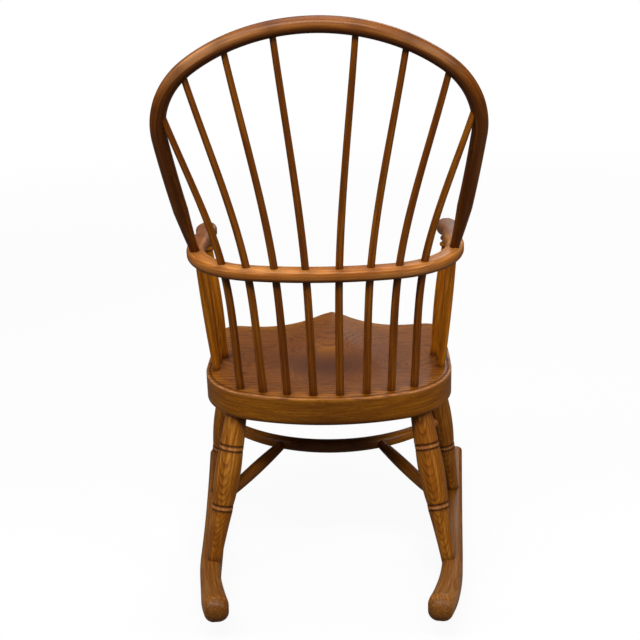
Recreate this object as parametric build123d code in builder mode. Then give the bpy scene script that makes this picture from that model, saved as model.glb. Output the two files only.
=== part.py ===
"""Hoop back rocking chair: a saddled seat on four turned legs and two rockers, with a bent
arm bow, a bent hoop and long back sticks. Millimetres, +Z up, the sitter faces -Y.
The origin lies on the floor, midway along the rockers."""

from math import acos, asin, atan, atan2, cos, degrees, radians, sin, sqrt, tan
import os

from build123d import *

# ---------------------------------------------------------------- driving dimensions
glue_gap = 0.15  # radial room left for glue round every tenon
end_gap = 0.3  # room below the end of a tenon in its socket

# seat
seat_height = 406.5  # top face above the floor, over the middle of the rockers
seat_slope = 3.4  # degrees, the back is lower than the front
seat_thickness = 56.0
seat_half_width = 241.0
seat_back = 143.0  # rear edge, behind the origin
seat_back_radius = 465.0
seat_corner_radius = 133.0
seat_front = 248.0  # front edge beside the corners, before the origin
seat_front_half_width = 232.0
seat_front_corner_radius = 42.0
pommel_reach = 52.0  # how far the nose stands before the front edge
pommel_base = 150.0  # half width of the swell that carries the nose
pommel_nose_radius = 50.0
seat_top_round = 6.0
seat_under_bevel = 4.0
hollow_radius = 700.0
hollow_spacing = 135.0  # from the middle line to the middle of each thigh hollow
hollow_depth = 12.0  # at the front edge
hollow_fade = 70.0  # where the thigh hollows run out, behind the origin
bowl_radius = 1050.0
bowl_depth = 7.0
bowl_centre = -30.0

# arm bow
arm_height = 659.5  # middle of the rail above the floor, over the middle of the rockers
arm_slope = 3.4  # degrees, the back is lower than the hands
arm_thickness = 24.0
arm_width = 34.0
arm_half_width = 243.0  # middle line of the rail at its widest
arm_back = 176.0  # middle line of the rail at the back
arm_back_radius = 620.0
arm_corner_radius = 140.0
arm_inturn = 4.0  # degrees that the arms close in towards the hands
arm_tip = 102.0  # tip of the hands before the origin
arm_edge_round = 9.0
neck_width = 29.0  # waist of the rail before the hand
neck_radius = 80.0
hand_width = 41.0
hand_side_radius = 36.0
hand_side_turn = 45.0  # degrees of that side arc past the widest place
hand_tip_flat = 2.0

# hoop
hoop_foot_back = 64.0  # where the feet stand on the arm bow, behind the origin
hoop_lean = 25.9  # degrees from upright
hoop_rise = 483.5  # crown above the feet, measured along the hoop
hoop_half_width = 272.0
hoop_wide_rise = 279.0  # height of the widest place above the feet
hoop_shoulder_radius = 168.0
hoop_shoulder_drop = 5.0  # degrees that the shoulder arc runs past the widest place
hoop_diameter = 28.0
hoop_foot_diameter = 18.0
hoop_foot_taper = 110.0  # from the middle of the rail up to the full thickness
hoop_foot_straight = 28.0  # from the middle of the rail up to the start of the taper

# back sticks, from the middle outwards, as lengths along the seat edge, the rail and the hoop
stick_foot_along = (25.0, 74.8, 122.3, 169.4)
stick_rail_along = (29.5, 84.8, 135.6, 185.0)
stick_crown_along = (67.2, 153.2, 238.2, 324.4)
stick_foot_inset = 20.5  # from the seat's edge
stick_foot_diameter = 16.0
stick_rail_diameter = 14.2
stick_top_diameter = 11.0
stick_seat_depth = 24.0
stick_hoop_stop = 2.0  # how far short of the hoop's middle a stick ends; its hole runs to the middle

# short side sticks under the arms, from the back forwards
side_foot_along = (278.0, 310.0)
side_rail_along = (322.0, 368.0)
side_foot_diameter = 15.0
side_belly_diameter = 16.0
side_end_diameter = 12.0
side_straight = 30.0  # straight ends that enter the seat and the rail

# turned arm posts
post_foot = (210.0, -58.0)
post_top_inset = 36.0  # from the tip of the hand back to the post
post_foot_diameter = 17.0
post_foot_straight = 32.0
post_belly_diameter = 23.0
post_belly_height = 95.0  # above the seat
post_neck_diameter = 16.0
post_bead_diameter = 25.0
post_bead_width = 9.0
post_bead_flat = 2.0  # how much smaller a bead is halfway down its sides
post_bead_drops = (20.0, 32.0)  # middle of each bead below the middle of the rail

# legs: places on the underside of the seat and on top of the rockers
rear_leg_top = (176.5, 70.0)
rear_leg_foot = (227.0, 136.0)
front_leg_top = (206.0, -150.0)
front_leg_foot = (257.0, -168.0)
leg_foot_diameter = 26.0
leg_belly_diameter = 50.0
leg_head_diameter = 38.0
leg_ring_heights = (106.0, 226.0)  # middle of each ring above the leg's foot
leg_ring_diameters = (41.0, 47.0)
leg_ring_width = 7.5
leg_groove_depth = 1.8
leg_groove_width = 3.0
leg_tenon_diameter = 25.0
leg_seat_depth = 28.0
leg_calf_waist = 1.0  # how much the calf is drawn in from a straight taper
leg_foot_lap = 2.0  # how far the foot is scribed down over the rocker's round
leg_foot_tenon_diameter = 18.0
leg_rocker_depth = 26.0

# rockers
rocker_half_length = 349.0
rocker_radius = 1450.0
rocker_depth = 51.5
rocker_width = 40.0
rocker_front_offset = 1.0  # the board's middle outside the foot of the front leg
rocker_rear_offset = 10.0  # and of the rear leg
rocker_bend_start = 96.0  # behind the origin, where the boards start to draw together
rocker_tail_radius = 1275.0  # of that bend, seen from above
rocker_edge_round = 11.0
rocker_nose_round = 17.0
rocker_low = -21.0  # lowest point of the rocker behind the origin, under the chair's weight
peg_diameter = 8.0
peg_drop = 17.0  # below the foot of the leg

# stretchers
crinoline_leg_height = 0.56  # share of the leg's height at which the ends enter
crinoline_bow = 118.0  # how far its middle stands behind its ends
crinoline_fall = 8.0  # and below them
crinoline_diameter = 28.0
crinoline_end_diameter = 21.0
crinoline_swell = 1.5  # fullness of its quarters over a straight taper
crinoline_tenon_diameter = 15.0
spur_share = 0.315  # share of the crinoline's length from its end to each spur
spur_leg_height = 0.415
spur_diameter = 25.0
spur_end_diameter = 17.0
spur_tenon_diameter = 13.0
stretcher_stop = 3.0  # how far short of its host's middle a stretcher's tenon ends

# wedges that spread the hoop's tenons under the rail
wedge_thickness = 2.4
wedge_length = 13.0
wedge_gap = 0.05

# ---------------------------------------------------------------- shared planes and lines
slope_dir = Vector(0, sin(radians(seat_slope)), cos(radians(seat_slope)))
seat_plane = Plane(origin=(0, 0, seat_height), x_dir=(1, 0, 0), z_dir=slope_dir)
seat_under = seat_plane.offset(-seat_thickness)
arm_dir = Vector(0, sin(radians(arm_slope)), cos(radians(arm_slope)))
arm_plane = Plane(origin=(0, 0, arm_height), x_dir=(1, 0, 0), z_dir=arm_dir)
arm_under = arm_plane.offset(-arm_thickness / 2)


def bend_turn(half_width, back_radius, corner_radius):
    """Angle at which a wide back arc meets the corner arc that ends at the half width."""
    return degrees(asin((half_width - corner_radius) / (back_radius - corner_radius)))


def corner_centre(half_width, back, back_radius, corner_radius):
    """How far behind the origin the middle of a corner arc lies."""
    reach = (back_radius - corner_radius) ** 2 - (half_width - corner_radius) ** 2
    return back - back_radius + sqrt(reach)


def side_point(x, y, z, side):
    """A point on the sitter's left (side 1) or right (side -1)."""
    return Vector(side * x, y, z)


def on_line(line, plane, distance, side):
    """The point at a distance along a line drawn on a plane, on either side of the chair."""
    flat = line.position_at(distance, PositionMode.LENGTH)
    return plane.from_local_coords(Vector(side * flat.X, flat.Y, 0))


def under_seat(place, side):
    """The point of the seat's underside above a place on the floor."""
    height = seat_under.origin.Z - (place[1] - seat_under.origin.Y) * tan(radians(seat_slope))
    return side_point(place[0], place[1], height, side)


def on_rocker(place, side):
    """The point of the rocker's top above a place on the floor."""
    top_radius = rocker_radius - rocker_depth
    height = rocker_radius - sqrt(top_radius**2 - (place[1] - rocker_low) ** 2)
    return side_point(place[0], place[1], height, side)


def across(axis):
    """The plane square to an axis at its start."""
    return Plane(origin=axis.position, z_dir=axis.direction)


def along(axis):
    """A plane that holds an axis as its local Y."""
    square = axis.direction.cross(Vector(0, 0, 1)).normalized()
    return Plane(origin=axis.position, x_dir=square, z_dir=square.cross(axis.direction))


def turned(axis, cuts):
    """A turned piece. Each cut is a list of heights and diameters, starts where the last one
    ends, and is straight between two points or a smooth curve through more."""
    with BuildPart() as piece:
        with BuildSketch(along(axis)):
            with BuildLine():
                (low, low_diameter), (high, high_diameter) = cuts[0][0], cuts[-1][-1]
                Polyline((low_diameter / 2, low), (0, low), (0, high), (high_diameter / 2, high))
                for cut in cuts:
                    points = [(diameter / 2, height) for height, diameter in cut]
                    Polyline(points) if len(points) == 2 else Spline(points)
            make_face()
        revolve(axis=axis)
    return piece.part


def round_bar(axis, low, high, diameter):
    """A plain round bar on an axis, from one height to another."""
    with BuildPart() as bar:
        with BuildSketch(across(axis).offset(low)):
            Circle(diameter / 2)
        extrude(amount=high - low)
    return bar.part


def tapered_rod(path, stations):
    """A round rod along a path; each station gives a share of the length and a diameter."""
    with BuildPart() as rod:
        for share, diameter in stations:
            with BuildSketch(path ^ share):
                Circle(diameter / 2)
        loft()
    return rod.part


sides = {"left": 1, "right": -1}

# middle line of the arm rail
rail_turn = bend_turn(arm_half_width, arm_back_radius, arm_corner_radius)
rail_corner_y = corner_centre(arm_half_width, arm_back, arm_back_radius, arm_corner_radius)

# the hand is drawn with arcs: in to the neck, out along the lobe and round the tip
neck_turn = acos(1 - (arm_width - neck_width) / 2 / (2 * neck_radius))
lobe_turn = acos(1 - (hand_width - neck_width) / 2 / (neck_radius + hand_side_radius))
side_turn = radians(hand_side_turn)
tip_radius = (
    (hand_width - hand_tip_flat) / 2 - hand_side_radius * (1 - cos(side_turn))
) / cos(side_turn)
hand_length = (
    2 * neck_radius * sin(neck_turn)
    + (neck_radius + hand_side_radius) * sin(lobe_turn)
    + hand_side_radius * sin(side_turn)
    + tip_radius * (1 - sin(side_turn))
)
arm_side = (rail_corner_y + arm_tip) / cos(radians(arm_inturn)) - hand_length
with BuildLine() as rail:
    rail_rear = JernArc((0, arm_back), (1, 0), arm_back_radius, -rail_turn)
    rail_corner = JernArc(rail_rear @ 1, rail_rear % 1, arm_corner_radius, rail_turn - 90 - arm_inturn)
    rail_side = Line(rail_corner @ 1, rail_corner @ 1 + (rail_corner % 1) * arm_side)
rail_line = rail.wire()

# line of the stick feet, inset from the seat's edge
seat_turn = bend_turn(seat_half_width, seat_back_radius, seat_corner_radius)
with BuildLine() as feet:
    foot_rear = JernArc(
        (0, seat_back - stick_foot_inset), (1, 0), seat_back_radius - stick_foot_inset, -seat_turn
    )
    foot_corner = JernArc(
        foot_rear @ 1, foot_rear % 1, seat_corner_radius - stick_foot_inset, seat_turn - 90
    )
    Line(foot_corner @ 1, foot_corner @ 1 - (0, seat_front / 2))
foot_line = feet.wire()

# the hoop stands on the rail in its own leaning plane
hoop_foot_x = arm_half_width - arm_corner_radius + sqrt(
    arm_corner_radius**2 - (hoop_foot_back - rail_corner_y) ** 2
)
hoop_plane = Plane(
    origin=arm_plane.from_local_coords(Vector(0, hoop_foot_back, 0)),
    x_dir=(1, 0, 0),
    z_dir=(0, -cos(radians(hoop_lean)), sin(radians(hoop_lean))),
)
hoop_top_rise = hoop_rise - hoop_wide_rise
hoop_crown_radius = (
    (hoop_half_width - hoop_shoulder_radius) ** 2 + hoop_top_rise**2 - hoop_shoulder_radius**2
) / (2 * (hoop_top_rise - hoop_shoulder_radius))
hoop_turn = bend_turn(hoop_half_width, hoop_crown_radius, hoop_shoulder_radius)
with BuildLine() as hoop_half:
    crown = JernArc((0, hoop_rise), (1, 0), hoop_crown_radius, -hoop_turn)
    shoulder = JernArc(
        crown @ 1, crown % 1, hoop_shoulder_radius, hoop_turn - 90 - hoop_shoulder_drop
    )
    flank = TangentArc(shoulder @ 1, (hoop_foot_x, 0), tangent=shoulder % 1)
crown_line = hoop_half.wire()
taper_start = 1 - hoop_foot_taper / flank.length


# ---------------------------------------------------------------- rockers
leg_feet = {"front": front_leg_foot, "rear": rear_leg_foot}
leg_tops = {"front": front_leg_top, "rear": rear_leg_top}


def rocker_height(y, radius):
    """Height of an arc of the rocker's side at a place along it."""
    return rocker_radius - sqrt(radius**2 - (y - rocker_low) ** 2)


def rocker_board(side):
    """A rocker before it is bored: its side outline cut to its outline seen from above."""
    front_x = side * (front_leg_foot[0] + rocker_front_offset)
    rear_x = side * (rear_leg_foot[0] + rocker_rear_offset)
    run = Vector(rear_x - front_x, rear_leg_foot[1] - front_leg_foot[1]).normalized()
    square = Vector(run.Y, -run.X) * side
    front_middle = Vector(front_x, front_leg_foot[1])
    reach = rocker_half_length + rocker_width
    front = front_middle - run * ((reach + front_leg_foot[1]) / run.Y)
    bend = front_middle + run * ((rocker_bend_start - front_leg_foot[1]) / run.Y)
    sweep_angle = degrees(asin((reach - rocker_bend_start) / rocker_tail_radius))
    top_radius = rocker_radius - rocker_depth
    with BuildPart() as board:
        with BuildSketch(Plane.YZ):
            with BuildLine():
                ends = [
                    [(y, rocker_height(y, radius)) for y in (-rocker_half_length, rocker_half_length)]
                    for radius in (rocker_radius, top_radius)
                ]
                ThreePointArc(ends[0][0], (rocker_low, 0), ends[0][1])
                ThreePointArc(ends[1][0], (rocker_low, rocker_depth), ends[1][1])
                Line(ends[0][0], ends[1][0])
                Line(ends[0][1], ends[1][1])
            make_face()
            fillet(vertices(), rocker_nose_round)
        extrude(amount=side * 2 * rear_leg_foot[0])
        with BuildSketch():
            with BuildLine():
                outer = Line(front + square * rocker_width / 2, bend + square * rocker_width / 2)
                inner = Line(front - square * rocker_width / 2, bend - square * rocker_width / 2)
                outer_tail = JernArc(
                    outer @ 1, run, rocker_tail_radius + rocker_width / 2, side * sweep_angle
                )
                inner_tail = JernArc(
                    inner @ 1, run, rocker_tail_radius - rocker_width / 2, side * sweep_angle
                )
                Line(outer @ 0, inner @ 0)
                Line(outer_tail @ 1, inner_tail @ 1)
            make_face()
        extrude(amount=2 * rocker_depth + reach, mode=Mode.INTERSECT)
        bend_seams = board.edges().filter_by(Axis.Z).filter_by_position(
            Axis.Y, bend.Y - rocker_width, bend.Y + rocker_width
        )
        rims = board.edges() - board.edges().filter_by(Axis.X) - bend_seams
        fillet(rims, rocker_edge_round)
    return board.part


rocker_boards = {name: rocker_board(side) for name, side in sides.items()}

# ---------------------------------------------------------------- legs
leg_axes = {}
leg_lengths = {}
leg_blanks = {}
for name, side in sides.items():
    for end in ("front", "rear"):
        foot = on_rocker(leg_feet[end], side)
        top = under_seat(leg_tops[end], side)
        leg_axes[end, name] = Axis(foot, top - foot)
        leg_lengths[end, name] = (top - foot).length


def ring(height, diameter):
    """The cuts of a turned ring: a groove, a flat bead and a second groove."""
    half = leg_ring_width / 2
    groove = leg_groove_width
    bottom = diameter - 2 * leg_groove_depth
    marks = [
        (height - half - groove, diameter),
        (height - half - groove / 2, bottom),
        (height - half, diameter),
        (height + half, diameter),
        (height + half + groove / 2, bottom),
        (height + half + groove, diameter),
    ]
    return [list(pair) for pair in zip(marks, marks[1:])]


def leg_blank(axis, length):
    """A turned leg whose head runs on past the seat's underside."""
    low, high = leg_ring_heights
    low_ring, high_ring = [ring(h, d) for h, d in zip(leg_ring_heights, leg_ring_diameters)]
    belly = ((low + high) / 2, leg_belly_diameter)
    head = (length + leg_head_diameter / 2, leg_head_diameter)
    calf = (low / 2, (leg_foot_diameter + leg_ring_diameters[0]) / 2 - leg_calf_waist)
    cuts = [[(-leg_foot_lap, leg_foot_diameter), calf, low_ring[0][0]], *low_ring]
    cuts += [[low_ring[-1][1], belly, high_ring[0][0]], *high_ring]
    cuts += [[high_ring[-1][1], head]]
    with BuildPart() as blank:
        add(turned(axis, cuts))
        split(bisect_by=seat_under, keep=Keep.BOTTOM)
    return blank.part


for place, axis in leg_axes.items():
    leg_blanks[place] = leg_blank(axis, leg_lengths[place])

# ---------------------------------------------------------------- stretchers
crinoline_ends = {
    name: leg_axes["front", name].position
    + leg_axes["front", name].direction * leg_lengths["front", name] * crinoline_leg_height
    for name in sides
}
crinoline_middle = Vector(
    0, crinoline_ends["left"].Y + crinoline_bow, crinoline_ends["left"].Z - crinoline_fall
)
with BuildLine() as crinoline_bend:
    crinoline_arc = ThreePointArc(crinoline_ends["right"], crinoline_middle, crinoline_ends["left"])
crinoline_axes = {
    "right": Axis(crinoline_arc @ 0, crinoline_arc % 0),
    "left": Axis(crinoline_arc @ 1, (crinoline_arc % 1) * -1),
}
crinoline_blank = tapered_rod(
    crinoline_arc,
    (
        (0, crinoline_end_diameter),
        (0.25, (crinoline_diameter + crinoline_end_diameter) / 2 + crinoline_swell),
        (0.5, crinoline_diameter),
        (0.75, (crinoline_diameter + crinoline_end_diameter) / 2 + crinoline_swell),
        (1, crinoline_end_diameter),
    ),
)
crinoline_tenon_length = leg_belly_diameter / 2 + crinoline_tenon_diameter / 2
spur_shares = {"right": spur_share, "left": 1 - spur_share}
spur_axes = {}
spur_lengths = {}
for name in sides:
    start = crinoline_arc @ spur_shares[name]
    leg = leg_axes["rear", name]
    end = leg.position + leg.direction * leg_lengths["rear", name] * spur_leg_height
    spur_axes[name] = Axis(start, end - start)
    spur_lengths[name] = (end - start).length

with BuildPart() as crinoline_stretcher:
    add(crinoline_blank)
    for name, axis in crinoline_axes.items():
        add(leg_blanks["front", name], mode=Mode.SUBTRACT)
        add(round_bar(axis, stretcher_stop, crinoline_tenon_length, crinoline_tenon_diameter))
        hole = spur_tenon_diameter + 2 * glue_gap
        add(
            round_bar(spur_axes[name], stretcher_stop - end_gap, crinoline_diameter, hole),
            mode=Mode.SUBTRACT,
        )
bores = {name: [] for name in ("seat", "arm_bow", "hoop", "rocker_left", "rocker_right")}
pieces = {"crinoline_stretcher": crinoline_stretcher.part}

for name, axis in spur_axes.items():
    length = spur_lengths[name]
    with BuildPart() as spur:
        ends = [(0, spur_end_diameter), (length / 2, spur_diameter), (length, spur_end_diameter)]
        add(turned(axis, [ends]))
        add(crinoline_blank, mode=Mode.SUBTRACT)
        add(leg_blanks["rear", name], mode=Mode.SUBTRACT)
        add(round_bar(axis, stretcher_stop, length - stretcher_stop, spur_tenon_diameter))
    pieces["stretcher_spur_" + name] = spur.part

# ---------------------------------------------------------------- arm bow
with BuildPart() as arm_bow:
    with BuildSketch(arm_under) as arm_outline:
        with BuildLine():
            tips = []
            for shift in (arm_width / 2, -arm_width / 2):
                inward = -1 if shift > 0 else 1
                rear = JernArc((0, arm_back + shift), (1, 0), arm_back_radius + shift, -rail_turn)
                corner = JernArc(
                    rear @ 1, rear % 1, arm_corner_radius + shift, rail_turn - 90 - arm_inturn
                )
                run = Line(corner @ 1, corner @ 1 + (corner % 1) * arm_side)
                waist = JernArc(run @ 1, run % 1, neck_radius, inward * degrees(neck_turn))
                flare = JernArc(
                    waist @ 1, waist % 1, neck_radius, -inward * degrees(neck_turn + lobe_turn)
                )
                lobe = JernArc(
                    flare @ 1, flare % 1, hand_side_radius, inward * (degrees(lobe_turn) + hand_side_turn)
                )
                tip = JernArc(lobe @ 1, lobe % 1, tip_radius, inward * (90 - hand_side_turn))
                tips.append(tip @ 1)
            Line(tips[0], tips[1])
            Line((0, arm_back + arm_width / 2), (0, arm_back - arm_width / 2))
        make_face()
        mirror(about=Plane.YZ)
    extrude(amount=arm_thickness)
    rims = arm_bow.faces().sort_by(Axis(arm_under.origin, arm_under.z_dir))
    fillet(rims[0].edges() + rims[-1].edges(), arm_edge_round)

# ---------------------------------------------------------------- hoop
hoop_foot_axes = {}
for name, side in sides.items():
    foot = hoop_plane.from_local_coords(Vector(side * hoop_foot_x, 0, 0))
    down = flank % 1
    above = hoop_plane.from_local_coords(Vector(side * (hoop_foot_x - down.X), -down.Y, 0))
    hoop_foot_axes[name] = Axis(foot, above - foot)
hoop_bend = hoop_plane.from_local_coords(Wire([crown, shoulder, flank.trim(0, taper_start)]))

with BuildPart() as hoop:
    with BuildSketch(hoop_bend ^ 0):
        Circle(hoop_diameter / 2)
    sweep(path=hoop_bend)
    with BuildSketch(hoop_bend ^ 1):
        Circle(hoop_diameter / 2)
    with BuildSketch(across(hoop_foot_axes["left"]).offset(hoop_foot_straight)):
        Circle(hoop_foot_diameter / 2)
    loft()
    add(round_bar(hoop_foot_axes["left"], -arm_width, hoop_foot_straight, hoop_foot_diameter))
    split(bisect_by=arm_under, keep=Keep.TOP)
    mirror(about=Plane.YZ)

# ---------------------------------------------------------------- seat
nose_turn = 2 * atan(pommel_reach / pommel_base)
nose_hollow_radius = pommel_base / sin(nose_turn) - pommel_nose_radius
side_start = corner_centre(seat_half_width, seat_back, seat_back_radius, seat_corner_radius)
side_run = side_start + seat_front - seat_front_corner_radius
side_lean = degrees(2 * atan2(seat_half_width - seat_front_half_width, side_run))

with BuildPart() as seat:
    with BuildSketch(seat_under):
        with BuildLine():
            rear = JernArc((0, seat_back), (1, 0), seat_back_radius, -seat_turn)
            corner = JernArc(rear @ 1, rear % 1, seat_corner_radius, seat_turn - 90)
            front_corner_start = (seat_front_half_width, seat_front_corner_radius - seat_front)
            flank_side = TangentArc(corner @ 1, front_corner_start, tangent=corner % 1)
            front_corner = JernArc(
                flank_side @ 1, flank_side % 1, seat_front_corner_radius, side_lean - 90
            )
            nose_base = Vector(pommel_base, (front_corner @ 1).Y)
            Line(front_corner @ 1, nose_base)
            nose_flare = JernArc(nose_base, (-1, 0), nose_hollow_radius, degrees(nose_turn))
            nose = JernArc(nose_flare @ 1, nose_flare % 1, pommel_nose_radius, -degrees(nose_turn))
            Line(nose @ 1, rear @ 0)
        make_face()
        mirror(about=Plane.YZ)
    extrude(amount=seat_thickness)
    faces = seat.faces().sort_by(Axis(seat_under.origin, seat_under.z_dir))
    fillet(faces[-1].edges(), seat_top_round)
    faces = seat.faces().sort_by(Axis(seat_under.origin, seat_under.z_dir))
    chamfer(faces[0].edges(), seat_under_bevel)
    hollow_fall = atan2(hollow_depth, seat_front + hollow_fade)
    for side in sides.values():
        rim = seat_plane.from_local_coords(Vector(side * hollow_spacing, -seat_front, -hollow_depth))
        run = Vector(0, cos(hollow_fall), sin(hollow_fall))
        run = seat_plane.from_local_coords(run) - seat_plane.origin
        lift = run.cross(Vector(-1, 0, 0)).normalized()
        with BuildSketch(Plane(origin=rim + lift * hollow_radius, z_dir=run)):
            Circle(hollow_radius)
        extrude(amount=seat_front + seat_back, both=True, mode=Mode.SUBTRACT)
    bowl = seat_plane.from_local_coords(Vector(0, bowl_centre, bowl_radius - bowl_depth))
    with Locations(bowl):
        Sphere(bowl_radius, rotation=(90, 0, 0), mode=Mode.SUBTRACT)

# ---------------------------------------------------------------- back sticks
for name, side in sides.items():
    places = zip(stick_foot_along, stick_rail_along, stick_crown_along)
    for number, (foot_along, rail_along, crown_along) in enumerate(places, 1):
        foot = on_line(foot_line, seat_plane, foot_along, side)
        passing = on_line(rail_line, arm_plane, rail_along, side)
        top = on_line(crown_line, hoop_plane, crown_along, side)
        lower = Axis(foot, passing - foot)
        with BuildLine() as stick_bend:
            spring = Spline(foot, passing, top, tangents=(passing - foot, top - passing))
        share = (passing - foot).length / ((passing - foot).length + (top - passing).length)
        middle = (stick_rail_diameter + stick_top_diameter) / 2
        with BuildPart() as stick:
            add(round_bar(lower, -stick_seat_depth, 0, stick_foot_diameter))
            stations = (
                (0, stick_foot_diameter),
                (share / 2, (stick_foot_diameter + stick_rail_diameter) / 2),
                (share, stick_rail_diameter),
                ((2 * share + 1) / 3, (2 * middle + stick_rail_diameter) / 3),
                ((share + 2) / 3, (2 * middle + stick_top_diameter) / 3),
                (1, stick_top_diameter),
            )
            add(tapered_rod(spring.trim(0, 1 - stick_hoop_stop / spring.length), stations))
        pieces["back_stick_%s_%d" % (name, number)] = stick.part
        hole = stick_foot_diameter + 2 * glue_gap
        low = -stick_seat_depth - end_gap
        bores["seat"].append(round_bar(lower, low, stick_foot_diameter, hole))
        at_rail = Axis(passing, spring % share)
        hole = stick_rail_diameter + 2 * glue_gap
        bores["arm_bow"].append(round_bar(at_rail, -arm_thickness, arm_thickness, hole))
        room = [(at, diameter + 2 * glue_gap) for at, diameter in stations]
        bores["hoop"].append(tapered_rod(spring, room))

# ---------------------------------------------------------------- side sticks and arm posts
post_top = rail_side @ 1 + (rail_side % 1) * (hand_length - post_top_inset)
for name, side in sides.items():
    for number, (foot_along, rail_along) in enumerate(zip(side_foot_along, side_rail_along), 1):
        foot = on_line(foot_line, seat_plane, foot_along, side)
        top = on_line(rail_line, arm_plane, rail_along, side)
        axis = Axis(foot, top - foot)
        length = (top - foot).length
        cuts = [
            [(-stick_seat_depth, side_foot_diameter), (side_straight, side_foot_diameter)],
            [
                (side_straight, side_foot_diameter),
                (length / 2, side_belly_diameter),
                (length - side_straight, side_end_diameter),
            ],
            [(length - side_straight, side_end_diameter), (length, side_end_diameter)],
        ]
        pieces["side_stick_%s_%d" % (name, number)] = turned(axis, cuts)
        hole = side_foot_diameter + 2 * glue_gap
        low = -stick_seat_depth - end_gap
        bores["seat"].append(round_bar(axis, low, side_straight, hole))
        hole = side_end_diameter + 2 * glue_gap
        bores["arm_bow"].append(round_bar(axis, length - side_straight, length + end_gap, hole))
    foot = seat_plane.from_local_coords(Vector(side * post_foot[0], post_foot[1], 0))
    top = arm_plane.from_local_coords(Vector(side * post_top.X, post_top.Y, 0))
    axis = Axis(foot, top - foot)
    length = (top - foot).length
    upper_bead, lower_bead = [length - drop for drop in post_bead_drops]
    half = post_bead_width / 2
    cuts = [
        [(-stick_seat_depth, post_foot_diameter), (post_foot_straight, post_foot_diameter)],
        [
            (post_foot_straight, post_foot_diameter),
            (post_belly_height, post_belly_diameter),
            (lower_bead - half, post_neck_diameter),
        ],
    ]
    for bead in (lower_bead, upper_bead):
        cuts += [
            [
                (bead - half, post_neck_diameter),
                (bead - half / 2, post_bead_diameter - post_bead_flat),
                (bead, post_bead_diameter),
                (bead + half / 2, post_bead_diameter - post_bead_flat),
                (bead + half, post_neck_diameter),
            ],
        ]
        beyond = upper_bead - half if bead == lower_bead else length
        cuts += [[(bead + half, post_neck_diameter), (beyond, post_neck_diameter)]]
    pieces["arm_post_" + name] = turned(axis, cuts)
    hole = post_foot_diameter + 2 * glue_gap
    low = -stick_seat_depth - end_gap
    bores["seat"].append(round_bar(axis, low, post_foot_straight, hole))
    hole = post_neck_diameter + 2 * glue_gap
    bores["arm_bow"].append(round_bar(axis, length - arm_thickness, length + end_gap, hole))
    hole = hoop_foot_diameter + 2 * glue_gap
    bores["arm_bow"].append(round_bar(hoop_foot_axes[name], -arm_width, hoop_foot_straight, hole))

# ---------------------------------------------------------------- legs, their tenons and pegs
pegs = []
for (end, name), axis in leg_axes.items():
    length = leg_lengths[end, name]
    tenon_middle = axis.position - axis.direction * peg_drop
    peg_axis = Axis(tenon_middle, (1, 0, 0))
    peg_hole = round_bar(peg_axis, -rocker_width, rocker_width, peg_diameter + 2 * glue_gap)
    with BuildPart() as leg:
        add(leg_blanks[end, name])
        add(rocker_boards[name], mode=Mode.SUBTRACT)
        add(round_bar(axis, length - leg_head_diameter, length + leg_seat_depth, leg_tenon_diameter))
        add(round_bar(axis, -leg_rocker_depth, leg_foot_diameter, leg_foot_tenon_diameter))
        add(peg_hole, mode=Mode.SUBTRACT)
        if end == "front":
            hole = crinoline_tenon_diameter + 2 * glue_gap
            low = stretcher_stop - end_gap
            add(round_bar(crinoline_axes[name], low, leg_belly_diameter, hole), mode=Mode.SUBTRACT)
        else:
            hole = spur_tenon_diameter + 2 * glue_gap
            low = spur_lengths[name] - leg_belly_diameter
            high = spur_lengths[name] - stretcher_stop + end_gap
            add(round_bar(spur_axes[name], low, high, hole), mode=Mode.SUBTRACT)
    pieces["%s_leg_%s" % (end, name)] = leg.part
    hole = leg_tenon_diameter + 2 * glue_gap
    high = length + leg_seat_depth + end_gap
    bores["seat"].append(round_bar(axis, length - leg_head_diameter, high, hole))
    hole = leg_foot_tenon_diameter + 2 * glue_gap
    low = -leg_rocker_depth - end_gap
    bores["rocker_" + name] += [round_bar(axis, low, leg_foot_diameter, hole), peg_hole]
    with BuildPart() as peg:
        add(rocker_boards[name])
        add(round_bar(peg_axis, -rocker_width, rocker_width, peg_diameter), mode=Mode.INTERSECT)
    pegs.append(peg.part)

# ---------------------------------------------------------------- wedges under the rail
wedges = []
for name, axis in hoop_foot_axes.items():
    drop = arm_thickness / 2 / axis.direction.dot(arm_plane.z_dir)
    mouth = arm_under.to_local_coords(axis.position - axis.direction * drop)
    kerfs = []
    for room in (0, wedge_gap):
        with BuildPart() as slip:
            with BuildSketch(arm_under):
                with Locations((mouth.X, mouth.Y)):
                    Rectangle(arm_width, wedge_thickness + 2 * room)
            extrude(amount=wedge_length + room)
        kerfs.append(slip.part)
    with BuildPart() as wedge:
        add(kerfs[0])
        add(round_bar(axis, -arm_width, arm_width, hoop_foot_diameter), mode=Mode.INTERSECT)
    wedges.append(wedge.part)
    bores["hoop"].append(kerfs[1])

# ---------------------------------------------------------------- bored pieces and groups
blanks = {"seat": seat.part, "arm_bow": arm_bow.part, "hoop": hoop.part}
blanks |= {"rocker_" + name: board for name, board in rocker_boards.items()}
for name, blank in blanks.items():
    with BuildPart() as bored:
        add(blank)
        add(bores[name], mode=Mode.SUBTRACT)
    pieces[name] = bored.part
pieces["rocker_pegs"] = Compound(children=pegs)
pieces["hoop_wedges"] = Compound(children=wedges)

# ---------------------------------------------------------------- export
os.makedirs("parts", exist_ok=True)
for name, piece in pieces.items():
    piece.label = name
    export_step(piece, "parts/%s.step" % name)
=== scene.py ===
import functools
import math

import bpy
import numpy as np
from mathutils import Matrix


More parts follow.
